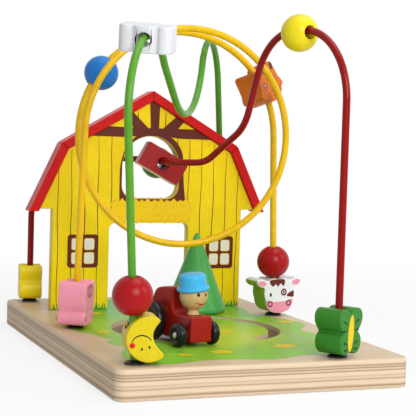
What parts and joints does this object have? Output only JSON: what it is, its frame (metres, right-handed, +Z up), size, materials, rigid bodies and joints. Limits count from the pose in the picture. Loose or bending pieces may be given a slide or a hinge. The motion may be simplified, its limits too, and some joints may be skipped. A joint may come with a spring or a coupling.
{
  "type": "bead frame",
  "caption": "Wooden bead frame: plywood board with a slotted track, barn front, cone tree, tractor with driver, bent coated wires, and ball and animal beads that slide on them.",
  "frame": {"origin": "middle of the board's underside", "axes": "+Z up, +Y from the open front towards the barn, +X to the right when facing the barn"},
  "size_m": [0.2064, 0.3134, 0.2433],
  "materials": {
    "birch_plywood": "clear lacquer",
    "bare_beech": "clear lacquer",
    "barn_yellow": "satin lacquer",
    "roof_red": "satin lacquer",
    "tree_green": "satin lacquer",
    "red_lacquer": "satin lacquer",
    "brick_lacquer": "satin lacquer",
    "green_lacquer": "satin lacquer",
    "yellow_lacquer": "satin lacquer",
    "blue_lacquer": "satin lacquer",
    "white_lacquer": "satin lacquer",
    "pink_lacquer": "satin lacquer",
    "orange_lacquer": "satin lacquer",
    "tractor_red": "satin lacquer",
    "black_lacquer": "satin lacquer",
    "light_blue_lacquer": "satin lacquer",
    "red_coating": "gloss plastic coating",
    "green_coating": "gloss plastic coating",
    "yellow_coating": "gloss plastic coating",
    "black_cap": "satin",
    "plated_steel": "bright plated"
  },
  "bodies": {
    "frame": {"base_board": "birch_plywood", "barn_front": "barn_yellow", "roof_lower_left": "roof_red", "roof_lower_right": "roof_red", "roof_upper_left": "roof_red", "roof_upper_right": "roof_red", "tree_cone": "tree_green", "tree_screw": "plated_steel", "barn_screw_left": "plated_steel", "barn_screw_right": "plated_steel", "wire_red": "red_coating", "wire_green": "green_coating", "wire_yellow": "yellow_coating", "ferrule_red_front": "black_cap", "ferrule_red_back": "black_cap", "ferrule_green_front": "black_cap", "ferrule_green_back": "black_cap", "ferrule_yellow_left": "black_cap", "ferrule_yellow_right": "black_cap"},
    "moon": {"bead_moon": "yellow_lacquer"},
    "front_ball": {"ball_red_front": "red_lacquer"},
    "pig": {"bead_pig": "pink_lacquer"},
    "cow": {"bead_cow": "white_lacquer"},
    "right_ball": {"ball_red_right": "red_lacquer"},
    "butterfly": {"bead_butterfly": "green_lacquer"},
    "chick": {"bead_chick": "yellow_lacquer"},
    "blue": {"ball_blue": "blue_lacquer"},
    "cat": {"bead_cat": "orange_lacquer"},
    "yellow": {"ball_yellow": "yellow_lacquer"},
    "cloud": {"bead_cloud": "white_lacquer"},
    "block": {"bead_block": "brick_lacquer"},
    "green": {"ball_green": "green_lacquer"},
    "follower": {"track_pin": "plated_steel", "track_washer": "plated_steel"},
    "tractor": {"tractor_body": "tractor_red", "driver_peg": "bare_beech", "driver_hat": "light_blue_lacquer"},
    "front_wheels": {"front_axle": "plated_steel", "front_wheel_left": "black_lacquer", "front_wheel_right": "black_lacquer"},
    "rear_wheels": {"rear_axle": "plated_steel", "rear_wheel_left": "black_lacquer", "rear_wheel_right": "black_lacquer"}
  },
  "joints": [
    {"name": "moon_slide", "type": "slide", "parent": "frame", "child": "moon", "axis": [-0.0539, 0, 0.9985], "range_m": [0, 0.06]},
    {"name": "front_ball_slide", "type": "slide", "parent": "moon", "child": "front_ball", "axis": [-0.0539, 0, 0.9985], "range_m": [0, 0.034]},
    {"name": "pig_slide", "type": "slide", "parent": "frame", "child": "pig", "axis": [0.0279, 0, 0.9996], "range_m": [0, 0.1]},
    {"name": "cow_slide", "type": "slide", "parent": "frame", "child": "cow", "axis": [-0.0329, 0, 0.9995], "range_m": [0, 0.045]},
    {"name": "right_ball_slide", "type": "slide", "parent": "cow", "child": "right_ball", "axis": [-0.0329, 0, 0.9995], "range_m": [0, 0.032]},
    {"name": "butterfly_slide", "type": "slide", "parent": "frame", "child": "butterfly", "axis": [0, 0, 1], "range_m": [0, 0.14]},
    {"name": "chick_slide", "type": "slide", "parent": "frame", "child": "chick", "axis": [0, 0, 1], "range_m": [0, 0.034]},
    {"name": "blue_ball_travel", "type": "hinge", "parent": "frame", "child": "blue", "pos_m": [0.004, 0.0347, 0.1583], "axis": [0, 1, 0], "range_deg": [-26, 38]},
    {"name": "cat_travel", "type": "hinge", "parent": "frame", "child": "cat", "pos_m": [0.004, 0.0347, 0.1583], "axis": [0, 1, 0], "range_deg": [-14, 18]},
    {"name": "yellow_ball_slide", "type": "slide", "parent": "frame", "child": "yellow", "axis": [-0.1953, 0.9807, 0], "range_m": [-0.01, 0.01]},
    {"name": "cloud_travel", "type": "hinge", "parent": "frame", "child": "cloud", "pos_m": [-0.06397, -0.0957, 0.172], "axis": [0.8392, -0.5437, 0], "range_deg": [-36, 48]},
    {"name": "block_slide", "type": "slide", "parent": "frame", "child": "block", "axis": [-0.1478, -0.989, 0], "range_m": [0, 0.014]},
    {"name": "green_ball_slide", "type": "slide", "parent": "block", "child": "green", "axis": [0.1478, 0.989, 0], "range_m": [0, 0.011]},
    {"name": "tractor_travel", "type": "hinge", "parent": "frame", "child": "follower", "pos_m": [0.002, -0.018, 0], "axis": [0, 0, -1], "range_deg": [0, 58]},
    {"name": "tractor_swivel", "type": "hinge", "parent": "follower", "child": "tractor", "pos_m": [-0.02821, -0.06634, 0.02], "axis": [0, 0, 1], "continuous": true},
    {"name": "front_wheels_spin", "type": "hinge", "parent": "tractor", "child": "front_wheels", "pos_m": [-0.02384, -0.08688, 0.0283], "axis": [0.9781, 0.2079, 0], "continuous": true},
    {"name": "rear_wheels_spin", "type": "hinge", "parent": "tractor", "child": "rear_wheels", "pos_m": [-0.0307, -0.0546, 0.0338], "axis": [0.9781, 0.2079, 0], "continuous": true}
  ]
}
